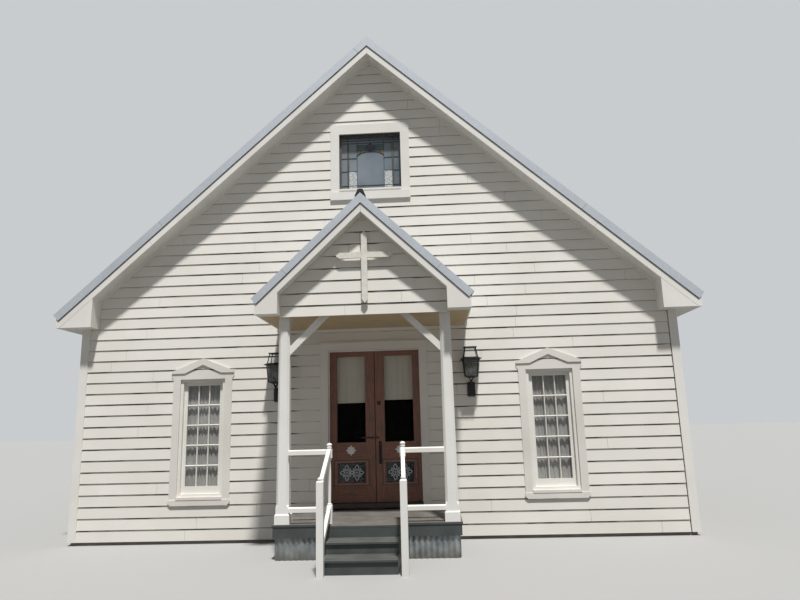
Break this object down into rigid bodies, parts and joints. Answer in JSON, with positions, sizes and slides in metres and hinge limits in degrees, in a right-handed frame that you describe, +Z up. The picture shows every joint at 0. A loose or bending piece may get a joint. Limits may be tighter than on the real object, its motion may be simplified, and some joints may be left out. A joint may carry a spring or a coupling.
{
  "type": "small chapel",
  "caption": "Small timber chapel with lap-sided walls, a ribbed metal gable roof, hooded sash windows and a gabled front porch with railed steps and hinged glazed doors.",
  "frame": {"origin": "middle of the footprint at ground level, the bottom centre of the bounding box", "axes": "+Z is up, the front with the porch faces -Y, and +X is to the right for a person who faces the front"},
  "size_m": [10.475, 14.851, 8.4344],
  "materials": {
    "siding_paint": "off-white painted lap siding",
    "trim_paint": "white painted softwood boards",
    "roof_steel": "bare metallic-coated ribbed steel roofing",
    "skirting_steel": "dull galvanized corrugated sheet",
    "concrete": "bare concrete block",
    "floor_wood": "varnished boards",
    "bare_wood": "clear-finished softwood",
    "door_wood": "dark red-brown stained and varnished wood",
    "ceiling_wood": "tan painted boards",
    "cross_wood": "weathered pale wood",
    "deck_paint": "dark grey-green deck paint",
    "clear_glass": "clear glass",
    "bulb_glass": "frosted bulb glass",
    "leaded_glass": "leaded glass in clear, green and amber pieces",
    "curtain_cloth": "pale woven curtains",
    "shade_cloth": "cream roller-shade cloth",
    "dark_metal": "oil-rubbed dark metal",
    "lantern_iron": "black painted sheet metal"
  },
  "bodies": {
    "building": {"foundation": "concrete", "floor": "floor_wood", "front_wall_left": "siding_paint", "front_wall_right": "siding_paint", "front_gable": "siding_paint", "left_wall": "siding_paint", "right_wall": "siding_paint", "back_wall": "siding_paint", "roof_deck_left": "trim_paint", "roof_deck_right": "trim_paint", "roof_metal": "roof_steel", "ridge_caps": "roof_steel", "rake_trims": "roof_steel", "rake_boards": "trim_paint", "cornice_returns": "trim_paint", "eave_boxes": "trim_paint", "gable_mouldings": "trim_paint", "corner_boards": "trim_paint", "window_casings": "trim_paint", "window_sills": "trim_paint", "window_frames": "trim_paint", "window_glass": "clear_glass", "window_curtains": "curtain_cloth", "attic_casing": "trim_paint", "attic_frame": "bare_wood", "attic_glass": "leaded_glass", "door_casing": "trim_paint", "door_frame": "trim_paint", "door_threshold": "deck_paint", "porch_deck": "deck_paint", "porch_rim": "deck_paint", "porch_skirting": "skirting_steel", "porch_steps": "deck_paint", "step_stringers": "deck_paint", "porch_posts": "trim_paint", "porch_braces": "trim_paint", "porch_gable": "siding_paint", "porch_ceiling": "ceiling_wood", "porch_roof_deck": "trim_paint", "porch_roof_metal": "roof_steel", "porch_eaves": "trim_paint", "porch_cross": "cross_wood", "porch_rails": "trim_paint", "porch_newels": "trim_paint", "wall_lanterns": "lantern_iron", "lantern_glass": "clear_glass", "lantern_bulbs": "bulb_glass"},
    "left_door": {"left_door": "door_wood", "left_door_glass": "clear_glass", "left_door_shade": "shade_cloth", "left_door_hardware": "dark_metal", "left_door_rosette": "trim_paint"},
    "right_door": {"right_door": "door_wood", "right_door_glass": "clear_glass", "right_door_shade": "shade_cloth", "right_door_hardware": "dark_metal", "right_door_rosette": "trim_paint"}
  },
  "joints": [
    {"name": "left_door_swing", "type": "hinge", "parent": "building", "child": "left_door", "pos_m": [-0.741, -4.9015, 0.555], "axis": [0, 0, 1], "range_deg": [0, 100]},
    {"name": "right_door_swing", "type": "hinge", "parent": "building", "child": "right_door", "pos_m": [0.741, -4.9015, 0.555], "axis": [0, 0, -1], "range_deg": [0, 100]}
  ]
}
